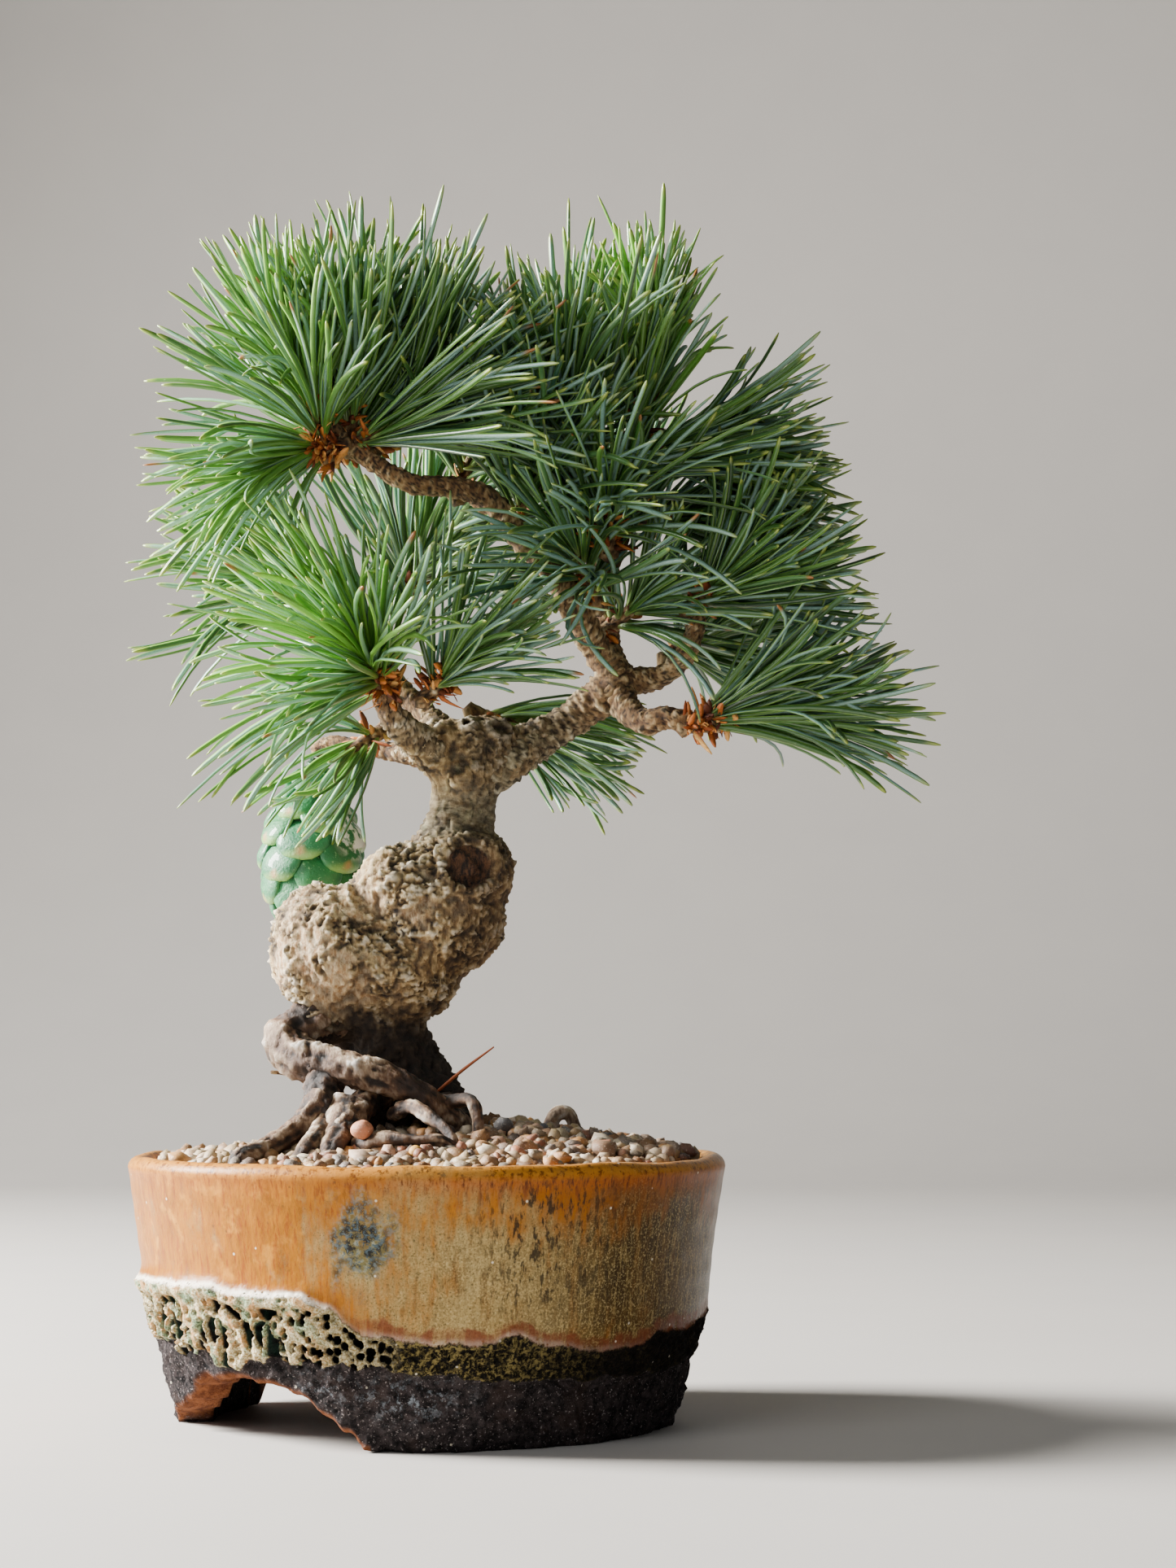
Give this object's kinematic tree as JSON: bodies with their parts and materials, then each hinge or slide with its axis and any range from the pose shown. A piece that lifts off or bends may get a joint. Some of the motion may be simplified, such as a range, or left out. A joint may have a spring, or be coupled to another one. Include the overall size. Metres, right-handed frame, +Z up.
{
  "type": "bonsai tree in a pot",
  "caption": "Small bonsai pine with a gnarled, burled trunk, surface roots, a hanging cone and tufts of long needles, in a round glazed stoneware pot with cut-out feet.",
  "frame": {"origin": "bottom centre of the whole object's box, on the table; the pot's own axis stands at negative X from it", "axes": "+Z up; +X to the right and +Y away from someone looking at the tree's front"},
  "size_m": [0.2024, 0.146, 0.301],
  "materials": {
    "glazed_stoneware": "gloss orange and olive ash glaze above a rough bare dark foot",
    "drain_mesh_plastic": "matt",
    "bonsai_wire": "dull",
    "soil_mix": "crumbly, damp",
    "gravel": "rounded river grit in mixed tans and greys",
    "pink_gravel": "smooth",
    "amber_gravel": "smooth, slightly translucent",
    "trunk_bark": "rough flaking bark",
    "root_bark": "worn bark, polished on top",
    "branch_bark": "ringed grey-brown bark",
    "green_cone": "unripe green scales with white resin",
    "dry_needle": "dry, red-brown",
    "pine_needles": "waxy, bright green with blue-white inner faces"
  },
  "bodies": {
    "root": {"pot": "glazed_stoneware", "drain_mesh": "drain_mesh_plastic", "mesh_clip_wire": "bonsai_wire", "soil": "soil_mix", "gravel_dressing": "gravel", "pink_stone": "pink_gravel", "amber_stone": "amber_gravel", "dead_twig": "branch_bark", "fallen_needle": "dry_needle", "trunk": "trunk_bark", "serpentine_root": "root_bark", "buttress_root": "root_bark", "left_root": "root_bark", "front_left_root": "root_bark", "front_root": "root_bark", "knuckle_root": "root_bark", "bent_root": "root_bark", "arch_root": "root_bark", "low_root": "root_bark", "hoop_root": "root_bark", "right_branch": "branch_bark", "crown_left_branch": "branch_bark", "crown_left_twig": "branch_bark", "crown_top_twig": "branch_bark", "apex_branch": "branch_bark", "back_crown_branch": "branch_bark", "back_left_crown_branch": "branch_bark", "right_upper_branch": "branch_bark", "right_lower_branch": "branch_bark", "back_right_branch": "branch_bark", "left_branch": "branch_bark", "back_left_branch": "branch_bark", "back_twig": "branch_bark", "cone_branch": "branch_bark", "seed_cone": "green_cone", "crown_left_low_tuft": "pine_needles", "crown_left_tuft": "pine_needles", "crown_top_tuft": "pine_needles", "crown_inner_tuft": "pine_needles", "mid_left_tuft": "pine_needles", "mid_back_tuft": "pine_needles", "low_left_tuft": "pine_needles", "low_front_tuft": "pine_needles", "low_back_tuft": "pine_needles", "behind_trunk_tuft": "pine_needles", "apex_tuft": "pine_needles", "apex_right_tuft": "pine_needles", "apex_left_tuft": "pine_needles", "right_middle_tuft": "pine_needles", "centre_tuft": "pine_needles", "back_crown_tuft": "pine_needles", "right_upper_tuft": "pine_needles", "right_lower_tuft": "pine_needles", "back_right_tuft": "pine_needles"}
  },
  "joints": []
}
